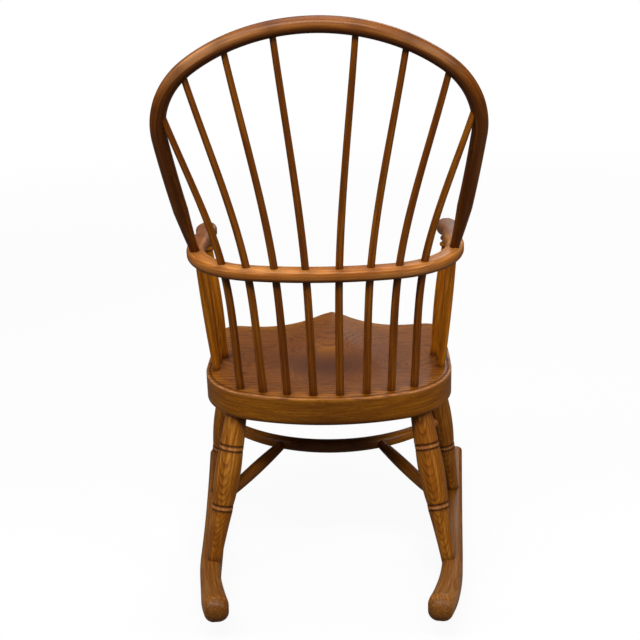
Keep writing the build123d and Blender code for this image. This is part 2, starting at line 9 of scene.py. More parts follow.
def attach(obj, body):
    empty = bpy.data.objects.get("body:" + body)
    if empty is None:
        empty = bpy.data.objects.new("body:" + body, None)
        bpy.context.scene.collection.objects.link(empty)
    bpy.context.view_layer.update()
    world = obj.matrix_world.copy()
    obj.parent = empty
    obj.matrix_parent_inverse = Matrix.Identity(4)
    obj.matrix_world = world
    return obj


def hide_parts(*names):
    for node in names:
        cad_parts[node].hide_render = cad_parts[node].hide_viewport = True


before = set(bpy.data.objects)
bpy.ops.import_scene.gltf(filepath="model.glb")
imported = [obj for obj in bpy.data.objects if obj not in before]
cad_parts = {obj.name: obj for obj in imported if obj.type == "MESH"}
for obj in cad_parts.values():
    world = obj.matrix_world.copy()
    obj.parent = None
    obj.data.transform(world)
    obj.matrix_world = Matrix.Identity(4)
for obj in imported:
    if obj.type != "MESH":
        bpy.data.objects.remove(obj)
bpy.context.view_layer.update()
mm = 0.001
sides = {"left": 1, "right": -1}
# the marks: the first is painted shade at joints, in grooves and creases and under things, with some grime at
# the joints; the second is wear; the third is a painted highlight, on the seat's arris partly wear; the last
# calms the rings
markNames = ("grime", "wear", "edge", "calm")
creaseAngle = math.radians(48.0)
print("frame loaded:", len(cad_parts), "nodes")


# lines and planes, all in millimetres until a mesh is made

def slopingPlane(height, slope):
    # rows: a point on the plane, across, towards the back, square to the plane
    fall, level = math.sin(math.radians(slope)), math.cos(math.radians(slope))
    return np.array([[0, 0, height], [1, 0, 0], [0, level, -fall], [0, fall, level]], float)


def onPlane(plane, flat):
    # point = origin + across * x + back * y (+ up * z)
    flat = np.asarray(flat, float)
    return plane[0] + flat @ plane[1:1 + flat.shape[-1]]


def arcStep(heading, curve, run):
    # along an arc the heading grows evenly: x = (sin(h + k d) - sin h) / k, y = (cos h - cos(h + k d)) / k
    bent = np.abs(curve) > 1e-9
    safe = np.where(bent, curve, 1.0)
    arc = np.stack([(np.sin(heading + safe * run) - np.sin(heading)) / safe,
                    (np.cos(heading) - np.cos(heading + safe * run)) / safe], -1)
    straight = np.stack([np.cos(heading) * run, np.sin(heading) * run], -1)
    return np.where(bent[..., None], arc, straight)


def bentLine(start, heading, bends, distances):
    # a flat line of arcs and straights, given as (length, curvature); returns points and headings
    lengths, curves = np.array(bends, float).T
    begins = np.concatenate([[0.0], np.cumsum(lengths)[:-1]])
    headings = heading + np.concatenate([[0.0], np.cumsum(lengths * curves)[:-1]])
    corners = np.array(start, float) + np.concatenate(
        [np.zeros((1, 2)), np.cumsum(arcStep(headings, curves, lengths), 0)[:-1]])
    part = np.clip(np.searchsorted(begins, distances, side="right") - 1, 0, len(lengths) - 1)
    run = distances - begins[part]
    return corners[part] + arcStep(headings[part], curves[part], run), headings[part] + curves[part] * run


def arc(radius, turn):
    # one bend as (length, curvature), to the right where the radius is below 0
    return abs(radius) * turn, 1 / radius


def lengthOf(bends):
    return sum(length for length, _ in bends)


def endOf(start, bends):
    # the last point and heading of a bent line that sets out on heading 0
    points, headings = bentLine(start, 0.0, bends, np.array([lengthOf(bends)]))
    return points[0], headings[0]


def arcTo(point, heading, target):
    # the arc that leaves a point on a heading and meets a target, as (length, curvature)
    reach = np.asarray(target, float) - point
    chord = math.hypot(*reach)
    turn = (math.atan2(reach[1], reach[0]) - heading + math.pi) % (2 * math.pi) - math.pi
    return chord * turn / math.sin(turn), 2 * math.sin(turn) / chord


def bothSides(half, headings):
    # a line drawn from the middle outwards becomes one line from the sitter's right to the left
    mirrored = half[::-1] * [-1, 1]
    return np.concatenate([mirrored[:-1], half]), np.concatenate([-headings[::-1][:-1], headings])


def unit(vectors):
    # vector / length
    return vectors / np.linalg.norm(vectors, axis=-1, keepdims=True)


def squareTo(direction, side):
    # side made square to the direction, and up = direction x side
    side = unit(side - direction * np.sum(side * direction, -1, keepdims=True))
    return side, np.cross(direction, side)


def alongLine(points):
    # direction by differences, and distance by adding the steps
    steps = np.linalg.norm(np.diff(points, axis=0), axis=1)
    return unit(np.gradient(points, axis=0)), np.concatenate([[0.0], np.cumsum(steps)])


def threePointCurve(at, places):
    # the parabola through three (place, value) pairs
    (a, p), (b, q), (c, r) = places
    return (p * (at - b) * (at - c) / ((a - b) * (a - c)) + q * (at - a) * (at - c) / ((b - a) * (b - c))
            + r * (at - a) * (at - b) / ((c - a) * (c - b)))


def smooth(value):
    # 0 to 1 with level ends: 3 t^2 - 2 t^3, t held between 0 and 1
    value = np.clip(value, 0, 1)
    return value * value * (3 - 2 * value)


def bell(away, reach):
    # 1 at no distance, falling as exp(-(away / reach)^2)
    return np.exp(-(away / reach) ** 2)


def strongest(*marks):
    # the greatest of several marks at each place
    return functools.reduce(np.maximum, marks)


def nearness(points, places, reach):
    # a bell round each place, the nearest place counting
    gap = np.linalg.norm(points[..., None, :] - np.asarray(places, float), axis=-1)
    return bell(gap, reach).max(-1)


def bowLine(plane, rise, bends, distances):
    # bends on a plane, mirrored: distance from the middle, centres, and side and up square to the line
    half, heading = bentLine((0, rise), 0.0, bends, distances)
    flat, headings = bothSides(half, heading)
    distance = np.concatenate([-distances[::-1][:-1], distances])
    direction = onPlane(plane, np.stack([np.cos(headings), np.sin(headings)], -1)) - plane[0]
    return distance, onPlane(plane, flat), *squareTo(direction, np.cross(plane[3], direction))


def roundedSections(centre, side, up, wide, high, edge, around):
    # rounded rectangle carried along a line: u = +-(wide - edge) + edge cos, v = +-(high - edge) + edge sin
    angle = (np.arange(around) + 0.5) / around * 2 * np.pi
    edge = np.minimum(edge, np.minimum(wide, high))
    u = np.sign(np.cos(angle)) * (wide - edge)[:, None] + edge[:, None] * np.cos(angle)
    v = np.sign(np.sin(angle)) * (high - edge)[:, None] + edge[:, None] * np.sin(angle)
    return centre[:, None] + side[:, None] * u[..., None] + up[:, None] * v[..., None], u, v


def circles(centre, side, up, radius, around):
    # round sections: u = radius cos, v = radius sin
    return roundedSections(centre, side, up, radius, radius, radius, around)


def closedRows(values):
    # all rows end to end, then the means of the first and the last row, for the poles
    return np.concatenate([values.reshape(-1, values.shape[-1]), values[:1].mean(1), values[-1:].mean(1)])


def makePiece(name, rows, grain, node, slot, **marks):
    # rows of points closed round, with a pole at each end; grain is the piece's own straightened place
    count, around = rows.shape[:2]
    points = closedRows(rows) * mm
    i, j = np.meshgrid(np.arange(count - 1), np.arange(around), indexing="ij")
    nextJ = (j + 1) % around
    quads = np.stack([i * around + j, i * around + nextJ, (i + 1) * around + nextJ, (i + 1) * around + j], -1)
    quads = quads.reshape(-1, 4)
    k, nextK = np.arange(around), (np.arange(around) + 1) % around
    firstPole, lastRow = count * around, (count - 1) * around
    first = np.stack([np.full(around, firstPole), nextK, k], -1)
    last = np.stack([np.full(around, firstPole + 1), lastRow + k, lastRow + nextK], -1)
    a, b, c, d = points[quads].transpose(1, 0, 2)
    volume = np.sum(np.cross(b - a, c - a) * (a + b + c)) + np.sum(np.cross(c - a, d - a) * (a + c + d))
    if volume < 0:
        quads, first, last = quads[:, ::-1], first[:, ::-1], last[:, ::-1]
    mesh = bpy.data.meshes.new(name)
    mesh.from_pydata(points.tolist(), [], quads.tolist() + first.tolist() + last.tolist())
    mesh.polygons.foreach_set("use_smooth", np.ones(len(mesh.polygons), bool))
    mesh.set_sharp_from_angle(angle=creaseAngle)
    straight = closedRows(grain) * mm
    mesh.attributes.new("grain", "FLOAT_VECTOR", "POINT").data.foreach_set("vector", straight.ravel())
    for mark in markNames:
        value = closedRows(np.broadcast_to(marks.get(mark, 0.0), rows.shape[:2])[..., None])
        mesh.attributes.new(mark, "FLOAT", "POINT").data.foreach_set("value", value.ravel())
    mesh.materials.append(finishes[slot])
    piece = bpy.data.objects.new(name, mesh)
    bpy.context.scene.collection.objects.link(piece)
    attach(piece, "root")
    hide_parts(node)


def grainOf(u, v, distance, cut):
    # straightened place: across, across, along, moved so that no two pieces are cut alike
    return np.stack(np.broadcast_arrays(u, v, distance[:, None]), -1) + np.asarray(cut, float)


def nextCut(look, index):
    # the first of several like pieces is cut at one place, and each further one a step on
    return np.array(look["cutAt"], float) + index * np.array(look["cutStep"], float)


# shader sums written as expressions

class Wire:
    # one output socket; arithmetic on it adds Math nodes, and node() adds any other node
    def __init__(self, tree, socket=None):
        self.tree, self.socket = tree, socket

    def node(self, kind, settings=None, inputs=None, output=0):
        made = self.tree.nodes.new(kind)
        for key, value in (settings or {}).items():
            if key == "ramp":
                while len(made.color_ramp.elements) < len(value):
                    made.color_ramp.elements.new(1.0)
                for stop, (position, colour) in zip(made.color_ramp.elements, value):
                    stop.position, stop.color = position, (*colour, 1.0)
            else:
                setattr(made, key, value)
        for key, value in (inputs or {}).items():
            if isinstance(value, Wire):
                self.tree.links.new(value.socket, made.inputs[key])
            else:
                made.inputs[key].default_value = value
        return Wire(self.tree, made.outputs[output] if made.outputs else None)

    def sum(self, operation, *values):
        return self.node("ShaderNodeMath", {"operation": operation}, dict(enumerate(values)))

    def __add__(self, other): return self.sum("ADD", self, other)
    def __radd__(self, other): return self.sum("ADD", other, self)
    def __sub__(self, other): return self.sum("SUBTRACT", self, other)
    def __rsub__(self, other): return self.sum("SUBTRACT", other, self)
    def __mul__(self, other): return self.sum("MULTIPLY", self, other)
    def __rmul__(self, other): return self.sum("MULTIPLY", other, self)
    def __truediv__(self, other): return self.sum("DIVIDE", self, other)
    def __pow__(self, other): return self.sum("POWER", self, other)

    def step(self, low, high):
        # 0 below low, 1 above high, smooth between
        return self.node("ShaderNodeMapRange", {"interpolation_type": "SMOOTHSTEP"},
                         {"Value": self, "From Min": low, "From Max": high})

    def drawn(self, share):
        # a place whose way along the grain is shortened, so that a pattern on it is drawn out
        return self.node("ShaderNodeVectorMath", {"operation": "MULTIPLY"}, {0: self, 1: (1.0, 1.0, share)})

    def noise(self, scale, detail=2.0, rough=0.5):
        return self.node("ShaderNodeTexNoise", {}, {"Vector": self, "Scale": scale, "Detail": detail,
                                                    "Roughness": rough})

    def blend(self, colour, amount):
        return self.node("ShaderNodeMix", {"data_type": "RGBA"}, {0: amount, 6: self, 7: (*colour, 1.0)}, 2)

    def ramp(self, stops):
        return self.node("ShaderNodeValToRGB", {"ramp": stops}, {"Fac": self})


def newFinish(name):
    finish = bpy.data.materials.new(name)
    finish.use_nodes = True
    finish.node_tree.nodes.clear()
    return finish, Wire(finish.node_tree)


def rgb(red, green, blue):
    # a colour given as screen values, as the linear one that the shader wants
    shares = [value / 255 for value in (red, green, blue)]
    return tuple(((share + 0.055) / 1.055) ** 2.4 if share > 0.04045 else share / 12.92 for share in shares)


def woodFinish(name, look):
    finish, tree = newFinish(name)
    place = tree.node("ShaderNodeAttribute", {"attribute_name": "grain"}, {}, 1)
    grime, wear, edge, calm = [tree.node("ShaderNodeAttribute", {"attribute_name": mark}, {}, 2)
                               for mark in markNames]
    # year rings: the distance from a pith line, made to wander and ripple, and patchy along the grain
    wander = place.drawn(look["wanderStretch"]).noise(look["wanderScale"])
    ripple = place.drawn(0.4).noise(look["rippleScale"])
    apart = place.node("ShaderNodeSeparateXYZ", {}, {0: place})
    x, y, z = [Wire(tree.tree, socket) for socket in apart.socket.node.outputs]
    x = x + look["pith"][0] + z * look["pithTilt"][0]
    y = y + look["pith"][1] + z * look["pithTilt"][1]
    reach = (x * x + y * y) ** 0.5 + (wander - 0.5) * look["wander"]
    reach = reach + (ripple - 0.5) * (wear * look["wornRipple"] + look["ripple"])
    ring = place.sum("FRACT", reach / look["ringWidth"])
    patch = place.drawn(0.3).noise(look["patchScale"])
    late = ring.step(*look["ringRise"]) * (1.0 - ring.step(*look["ringFall"]))
    late = late * (patch.step(0.3, 0.7) * 0.7 + 0.3)
    # fibres, open pores between the rings, and slow changes of tone
    fibre = place.drawn(look["stretch"]).noise(look["fibreScale"], 3.0, 0.6)
    pores = place.drawn(look["stretch"] * 1.6).noise(look["fibreScale"] * 1.7, 1.0)
    pores = pores.step(0.60, 0.70) * (1.0 - late * 0.8)
    tone = place.drawn(0.35).noise(look["toneScale"])
    streak = place.drawn(look["stretch"] * 0.7).noise(look["streakScale"], 2.0, 0.55)
    toneShare, streakShare, fibreShare = look["tintShares"]
    tint = (tone.step(0.25, 0.75) * toneShare + streak.step(0.32, 0.68) * streakShare
            + fibre.step(0.3, 0.7) * fibreShare)
    base = tint.ramp([(0.0, look["dark"]), (0.5, look["middle"]), (1.0, look["light"])])
    # the layers: wear, rings and pores are the wood's own, the edge layer is a painted highlight, and the
    # grime layer is painted shade with some grime
    for layer, amount in (
            ("wear", wear * look["wearStrength"] * (tone.step(0.2, 0.6) * 0.35 + 0.65)),
            ("ring", late * look["ringStrength"] * (1.0 - calm)),
            ("pore", pores * look["poreStrength"]),
            ("edge", edge * (streak.step(0.35, 0.65) * 0.6 + 0.4)),
            ("grime", grime * look["grimeStrength"])):
        base = base.blend(look[layer + "Colour"], amount)
    rough = fibre * 0.16 + look["rough"] + pores * 0.12 + grime * 0.12 + wear * 0.08
    height = (1.0 - pores) * 0.6 - late * 0.12 + fibre * 0.25
    bump = tree.node("ShaderNodeBump", {}, {"Strength": look["bump"], "Distance": look["bumpDepth"],
                                            "Height": height})
    shader = tree.node("ShaderNodeBsdfPrincipled", {}, {
        "Base Color": base, "Roughness": rough, "Normal": bump, "Coat Weight": look["coat"],
        "Coat Roughness": look["coatRough"], "Specular IOR Level": look["gloss"]})
    tree.node("ShaderNodeOutputMaterial", {}, {"Surface": shader})
    return finish


# in these looks the edge colour is the colour of painted highlights, and the grime colour is that of painted
# shade, with some grime at the joints
ash = {
    "wanderScale": 9.0, "wanderStretch": 0.15, "wander": 0.006, "rippleScale": 95.0, "ripple": 0.0006,
    "wornRipple": 0.0, "pith": (0.031, 0.022), "pithTilt": (0.05, 0.03), "ringWidth": 0.0031,
    "ringRise": (0.25, 0.88), "ringFall": (0.90, 1.0), "patchScale": 48.0, "stretch": 0.030,
    "fibreScale": 900.0, "streakScale": 260.0, "toneScale": 11.0, "tintShares": (0.34, 0.46, 0.20),
    "dark": rgb(122, 62, 3), "middle": rgb(162, 94, 10), "light": rgb(198, 128, 32),
    "ringColour": rgb(104, 50, 2), "ringStrength": 0.5, "poreColour": rgb(76, 34, 2), "poreStrength": 0.45,
    "grimeColour": rgb(44, 12, 2), "grimeStrength": 0.9, "wearColour": rgb(150, 104, 76),
    "wearStrength": 0.8, "edgeColour": rgb(204, 140, 94), "rough": 0.36, "bump": 0.45, "bumpDepth": 0.0006,
    "coat": 0.22, "coatRough": 0.3, "gloss": 0.09,
}
finishes = {
    # the back ash's edge colour is the painted highlight along the hoop's crown
    "back_ash": woodFinish("backAsh", ash | {
        "dark": rgb(90, 40, 2), "middle": rgb(123, 64, 4), "light": rgb(164, 98, 18),
        "ringColour": rgb(82, 36, 2), "ringStrength": 0.45, "coat": 0.24, "edgeColour": rgb(206, 146, 94)}),
    "arm_ash": woodFinish("armAsh", ash | {
        "dark": rgb(142, 76, 20), "middle": rgb(180, 108, 42), "light": rgb(214, 146, 76), "coat": 0.18,
        "ringColour": rgb(124, 62, 16), "wearColour": rgb(120, 82, 60), "wearStrength": 0.9}),
    "turned_ash": woodFinish("turnedAsh", ash | {
        "dark": rgb(118, 60, 6), "middle": rgb(156, 92, 18), "light": rgb(196, 132, 52),
        "wanderStretch": 0.5, "wander": 0.014, "ripple": 0.0024, "pithTilt": (0.02, 0.13),
        "ringWidth": 0.0030, "ringStrength": 0.74, "ringColour": rgb(92, 42, 3), "poreStrength": 0.6}),
    "stretcher_ash": woodFinish("stretcherAsh", ash | {
        "dark": rgb(138, 72, 4), "middle": rgb(182, 105, 12), "light": rgb(216, 143, 34)}),
    # the rocker's wear colour paints the highlight along the tops of the tails
    "rocker_ash": woodFinish("rockerAsh", ash | {
        "dark": rgb(124, 68, 12), "middle": rgb(166, 102, 32), "light": rgb(198, 136, 62),
        "ringWidth": 0.0046, "pith": (0.010, 0.050), "wander": 0.009,
        "wearColour": rgb(178, 128, 86), "wearStrength": 0.6}),
    "seat_elm": woodFinish("seatElm", ash | {
        "dark": rgb(119, 65, 2), "middle": rgb(149, 86, 5), "light": rgb(177, 111, 24),
        "ringWidth": 0.0085, "ringColour": rgb(72, 33, 10), "ringStrength": 0.76, "pith": (0.075, 0.12),
        "pithTilt": (0.0, 0.02), "wander": 0.026, "wanderStretch": 0.45, "ripple": 0.0012,
        "wornRipple": 0.016, "stretch": 0.10, "fibreScale": 480.0, "poreStrength": 0.75,
        "wearColour": rgb(113, 61, 31), "wearStrength": 0.95}),
    "peg_oak": woodFinish("pegOak", ash | {
        "dark": rgb(104, 58, 24), "middle": rgb(128, 76, 34), "light": rgb(150, 94, 46)}),
}
print("finishes made:", len(finishes))

# the seat, a saddled board

seat = {
    "height": 406.5, "slope": 3.4, "thickness": 56.0, "halfWidth": 241.0, "back": 143.0, "backRadius": 465.0,
    "cornerRadius": 133.0, "front": 248.0, "frontHalfWidth": 232.0, "frontCorner": 42.0,
    "noseReach": 52.0, "noseBase": 150.0, "noseRadius": 50.0, "topRound": 3.2, "underBevel": 4.0,
    "hollowRadius": 700.0, "hollowSpacing": 135.0, "hollowDepth": 12.0, "hollowFade": 70.0,
    "bowlRadius": 1050.0, "bowlDepth": 7.0, "bowlCentre": -30.0, "soften": 1.6,
    "scribeInset": 7.5, "scribeWidth": 1.8, "scribeDepth": 1.0, "middle": (0.0, -40.0),
    "rimBand": 26.0, "spacing": 3.2,
    # bells as (across, back, half width, half length), and a height of figure last
    "ovals": ((2.0, -130.0, 70.0, 100.0, 44.0), (-150.0, 0.0, 60.0, 90.0, -16.0),
              (140.0, -40.0, 60.0, 90.0, -12.0)),
    "palePatch": (4.0, -95.0, 26.0, 40.0), "darkSpot": (164.0, 20.0, 6.0, 5.0),
    "rearFrom": -120.0, "rearOver": 60.0, "sideFrom": 14.0, "sideRings": 1.3, "sideCalm": 0.62,
    # painted shade over the middle of the back face, darker towards the bottom, and under the board
    "middleReach": 150.0, "middleShade": 0.50, "lowShade": 0.30, "underShade": 0.18,
    # these values lighten the rounded rear arris: partly wear and partly a painted highlight
    "arrisWearAndSheen": (0.2, 0.6, 1.0, 1.0, 0.5),
}
seatPlane = slopingPlane(seat["height"], seat["slope"])
rimInsets = np.array([22.0, 18.0, 15.0, 13.0, 11.5, 10.5, 10.0, 9.5, 9.0, 8.5, 7.5, 6.0])
topRows, rimRows, roundRows = slice(0, 56), slice(56, 68), slice(68, 73)


def backAndCorner(halfWidth, backRadius, cornerRadius, further=0.0):
    # a back arc and a corner arc that ends at halfWidth: they turn by 90 degrees, and a little further
    turn = math.asin((halfWidth - cornerRadius) / (backRadius - cornerRadius))
    return [arc(-backRadius, turn), arc(-cornerRadius, math.pi / 2 + math.radians(further) - turn)]


def onBends(plane, start, bends, distance, side):
    # the place at a distance along a bent line on a plane, to one side (1 or -1)
    flat, _ = bentLine((0, start), 0.0, bends, np.array([distance]))
    return onPlane(plane, flat[0] * [side, 1])


def seatOutline():
    # back arc, corner, side, front corner, straight front, flare and nose, as half an outline
    start = (0, seat["back"])
    bends = backAndCorner(seat["halfWidth"], seat["backRadius"], seat["cornerRadius"])
    bends.append(arcTo(*endOf(start, bends), (seat["frontHalfWidth"], seat["frontCorner"] - seat["front"])))
    bends.append(arc(-seat["frontCorner"], math.pi + endOf(start, bends)[1]))
    bends.append((endOf(start, bends)[0][0] - seat["noseBase"], 0.0))
    flare = 2 * math.atan(seat["noseReach"] / seat["noseBase"])
    flareRadius = seat["noseBase"] / math.sin(flare) - seat["noseRadius"]
    bends += [arc(flareRadius, flare), arc(-seat["noseRadius"], flare)]
    total = lengthOf(bends)
    return bentLine(start, 0.0, bends, np.linspace(0, total, int(total / seat["spacing"])))


def seatDepth(flat):
    # two thigh hollows that fade out towards the back, and one shallow bowl, softly joined
    x, y = flat[..., 0], flat[..., 1]
    fall = seat["hollowDepth"] * (1 - (y + seat["front"]) / (seat["front"] + seat["hollowFade"]))
    near = np.abs(x) - seat["hollowSpacing"]
    hollow = fall - near ** 2 / (2 * seat["hollowRadius"])
    bowl = seat["bowlDepth"] - (x ** 2 + (y - seat["bowlCentre"]) ** 2) / (2 * seat["bowlRadius"])
    soft = seat["soften"]
    return soft * np.log(np.exp(hollow / soft) + np.exp(bowl / soft) + 1.0) - soft * math.log(2) * np.exp(
        -np.maximum(hollow, bowl) ** 2 / 8)


def seatRows():
    # rows from the middle of the top out to the rim, down the side, and back in under the board
    half, heading = seatOutline()
    rim, headings = bothSides(half, heading)
    rim, headings = rim[:-1], headings[:-1]
    outward = np.stack([-np.sin(headings), np.cos(headings)], -1)
    middle = np.array(seat["middle"])
    inner = rim - outward * seat["rimBand"]
    rows = [middle + (inner - middle) * share for share in np.linspace(0.02, 1, topRows.stop)]
    rows += [rim - outward * inset for inset in rimInsets]
    drops = [seatDepth(flat) for flat in rows]
    for angle in np.radians(np.linspace(18, 90, len(seat["arrisWearAndSheen"]))):
        rows.append(rim - outward * seat["topRound"] * (1 - math.sin(angle)))
        drops.append(seatDepth(rows[-1]) + seat["topRound"] * (1 - math.cos(angle)))
    low, edge = seat["thickness"] - seat["underBevel"], drops[-1]
    for share in np.linspace(0.08, 1, 9):
        rows.append(rim)
        drops.append(edge + (low - edge) * share)
    for share in (0.12, 0.5, 0.88, 1.0):
        rows.append(rim - outward * seat["underBevel"] * share)
        drops.append(np.full(len(rim), low + seat["underBevel"] * share))
    under = rows[-1]
    for share in np.linspace(0.95, 0.03, 12):
        rows.append(middle + (under - middle) * share)
        drops.append(np.full(len(rim), seat["thickness"]))
    return np.array(rows), np.array(drops)


flatRows, drops = seatRows()
behind = smooth((flatRows[..., 1] - seat["rearFrom"]) / seat["rearOver"])
scribe = np.zeros(drops.shape)
scribe[rimRows] = bell(rimInsets - seat["scribeInset"], seat["scribeWidth"])[:, None] * behind[rimRows]
seatPoints = onPlane(seatPlane, np.dstack([flatRows, -drops - scribe * seat["scribeDepth"]]))

# where the rail, hoop, sticks, posts and legs stand

arm = {
    "height": 659.5, "slope": 3.4, "thickness": 24.0, "width": 34.0, "halfWidth": 243.0, "back": 176.0,
    "backRadius": 620.0, "cornerRadius": 140.0, "inturn": 4.0, "tip": -102.0, "edgeRound": 9.0,
    "neckWidth": 29.0, "neckRadius": 80.0, "handWidth": 41.0, "handSideRadius": 36.0, "handSideTurn": 45.0,
    # painted shade round the joints and along the underside
    "tipFlat": 2.0, "cutAt": (12, 40, 0), "jointReach": 15.0, "jointShadeAndGrime": 0.8, "underShade": 0.74,
    "handledFrom": 150.0, "handledOver": 90.0,
}
armPlane = slopingPlane(arm["height"], arm["slope"])
# the centres of the back arc and the corner arc are backRadius - cornerRadius apart
railCornerY = arm["back"] - arm["backRadius"] + math.sqrt(
    (arm["backRadius"] - arm["cornerRadius"]) ** 2 - (arm["halfWidth"] - arm["cornerRadius"]) ** 2)
neckTurn = math.acos(1 - (arm["width"] - arm["neckWidth"]) / 2 / (2 * arm["neckRadius"]))
lobeTurn = math.acos(1 - (arm["handWidth"] - arm["neckWidth"]) / 2
                     / (arm["neckRadius"] + arm["handSideRadius"]))
sideTurn = math.radians(arm["handSideTurn"])
tipRadius = ((arm["handWidth"] - arm["tipFlat"]) / 2
             - arm["handSideRadius"] * (1 - math.cos(sideTurn))) / math.cos(sideTurn)
handBends = [arc(-arm["neckRadius"], neckTurn), arc(arm["neckRadius"], neckTurn + lobeTurn),
             arc(-arm["handSideRadius"], lobeTurn + sideTurn), arc(-tipRadius, math.pi / 2 - sideTurn)]
handEdge, _ = bentLine((0, arm["width"] / 2), 0.0, handBends, np.linspace(0, lengthOf(handBends), 400))
handLength = handEdge[-1, 0]
armSide = (railCornerY - arm["tip"]) / math.cos(math.radians(arm["inturn"])) - handLength
railBends = backAndCorner(arm["halfWidth"], arm["backRadius"], arm["cornerRadius"], arm["inturn"])
railBends.append((armSide + handLength, 0.0))
railLength = lengthOf(railBends)


def onRail(distance, side):
    return onBends(armPlane, arm["back"], railBends, distance, side)


sticks = {
    "footAlong": (25.0, 74.8, 122.3, 169.4), "railAlong": (29.5, 84.8, 135.6, 185.0),
    "crownAlong": (67.2, 153.2, 238.2, 324.4), "footInset": 20.5, "footDiameter": 16.0,
    "railDiameter": 14.2, "topDiameter": 11.0, "depth": 22.0, "waver": 0.15, "waverTurns": 19.0,
    # painted shade round the joints
    "jointShadeReach": (13.0, 17.0, 20.0), "grime": 0.75, "cutAt": (5, 9, 0), "cutStep": (23, 17, 310),
}


def onFootLine(distance, side):
    # the line of the stick feet runs inside the seat's edge
    back, *line = [seat[key] - sticks["footInset"]
                   for key in ("back", "halfWidth", "backRadius", "cornerRadius")]
    return onBends(seatPlane, back, backAndCorner(*line) + [(seat["front"], 0.0)], distance, side)


hoop = {
    "footBack": 64.0, "lean": 25.9, "rise": 483.5, "halfWidth": 272.0, "wideRise": 279.0,
    "shoulderRadius": 168.0, "shoulderDrop": 5.0, "diameter": 28.0, "footDiameter": 18.0,
    "footTaper": 110.0, "footStraight": 28.0, "footSink": 13.2, "waver": 0.25, "waverLength": 41.0,
    # painted highlights along the crown as (distance from the crown, reach, strength)
    "sheenSpots": ((215.0, 95.0, 0.80), (-200.0, 80.0, 0.42)), "sheenAll": 0.16, "sheenFacing": (0.12, 0.88, 0.42),
    # painted shade round the joints and along the underside
    "jointShadeAndGrime": 0.8, "underShade": 0.72, "cutAt": (3, 7, 20),
}
footX = arm["halfWidth"] - arm["cornerRadius"] + math.sqrt(
    arm["cornerRadius"] ** 2 - (hoop["footBack"] - railCornerY) ** 2)
lean = math.radians(hoop["lean"])
hoopPlane = np.array([onPlane(armPlane, (0, hoop["footBack"])), [1, 0, 0],
                      [0, math.sin(lean), math.cos(lean)], [0, -math.cos(lean), math.sin(lean)]])
topRise = hoop["rise"] - hoop["wideRise"]
crownRadius = ((hoop["halfWidth"] - hoop["shoulderRadius"]) ** 2 + topRise ** 2
               - hoop["shoulderRadius"] ** 2) / (2 * (topRise - hoop["shoulderRadius"]))
hoopBends = backAndCorner(hoop["halfWidth"], crownRadius, hoop["shoulderRadius"], hoop["shoulderDrop"])
hoopBends.append(arcTo(*endOf((0, hoop["rise"]), hoopBends), (footX, 0)))
hoopHalf = lengthOf(hoopBends)


def onHoop(distance, side):
    return onBends(hoopPlane, hoop["rise"], hoopBends, distance, side)


stickEnds = {(name, number): (onFootLine(sticks["footAlong"][number - 1], side),
                              onRail(sticks["railAlong"][number - 1], side),
                              onHoop(sticks["crownAlong"][number - 1], side))
             for name, side in sides.items() for number in range(1, 5)}
sideSticks = {
    "footAlong": (278.0, 310.0), "railAlong": (322.0, 368.0), "footDiameter": 15.0,
    # the reach of the painted shade at each end
    "bellyDiameter": 16.0, "endDiameter": 12.0, "straight": 30.0, "depth": 22.0, "jointShadeReach": 8.0,
    "cutAt": (8, 3, 0), "cutStep": (31, 13, 270),
}
sideEnds = {(name, number): (onFootLine(sideSticks["footAlong"][number - 1], side),
                             onRail(sideSticks["railAlong"][number - 1], side))
            for name, side in sides.items() for number in (1, 2)}
posts = {
    "foot": (210.0, -58.0), "topInset": 36.0, "footDiameter": 17.0, "footStraight": 32.0,
    "bellyDiameter": 23.0, "bellyHeight": 95.0, "neckDiameter": 16.0, "beadDiameter": 25.0,
    # painted shade at the ends and in the creases by the beads
    "beadWidth": 9.0, "beadDrops": (20.0, 32.0), "depth": 22.0, "jointShadeReach": (8.0, 6.0), "creaseReach": 1.8,
    "cutAt": (11, 30, 0), "cutStep": (41, 0, 300),
}
postEnds = {name: (onPlane(seatPlane, (side * posts["foot"][0], posts["foot"][1])),
                   onRail(railLength - posts["topInset"], side)) for name, side in sides.items()}

legs = {
    "tops": {"rear": (176.5, 70.0), "front": (206.0, -150.0)},
    "feet": {"rear": (227.0, 136.0), "front": (257.0, -168.0)},
    "footDiameter": 26.0, "bellyDiameter": 50.0, "headDiameter": 38.0, "ringHeights": (106.0, 226.0),
    "ringDiameters": (41.0, 47.0), "ringWidth": 7.5, "grooveDepth": 1.8, "grooveWidth": 3.0,
    # the ring value paints a highlight on the beads, the groove value paints shade in the grooves, and the
    # reaches below set the painted shade at the foot and the head
    "calfWaist": 1.0, "footSink": 12.0, "headSink": 22.0, "beadHighlightStrength": 0.6, "grooveShade": 0.85,
    "jointShadeReach": (7.0, 15.0), "cutAt": (-33, 8, 0), "cutStep": (5, 7, 330),
}
rockers = {
    "halfLength": 349.0, "radius": 1450.0, "depth": 51.5, "width": 40.0, "frontOffset": 1.0,
    "rearOffset": 10.0, "bendStart": 96.0, "tailRadius": 1275.0, "edgeRound": 11.0, "low": -21.0,
    "tailWidth": 45.0, "tailFrom": 215.0, "tailOver": 80.0, "noseLength": 24.0, "noseSide": 15.0,
    # painted shade round the leg joints and along the underside; the ends are painted darker
    "endDraw": 3.2, "jointReach": 24.0, "jointShadeAndGrime": 0.7, "underShade": 0.45, "endDarkening": 0.6,
    # a painted highlight along the tops of the tails
    "tailTopFrom": 140.0, "tailTopOver": 60.0, "cutAt": (25, 33, 0), "cutStep": (61, 0, 0),
}


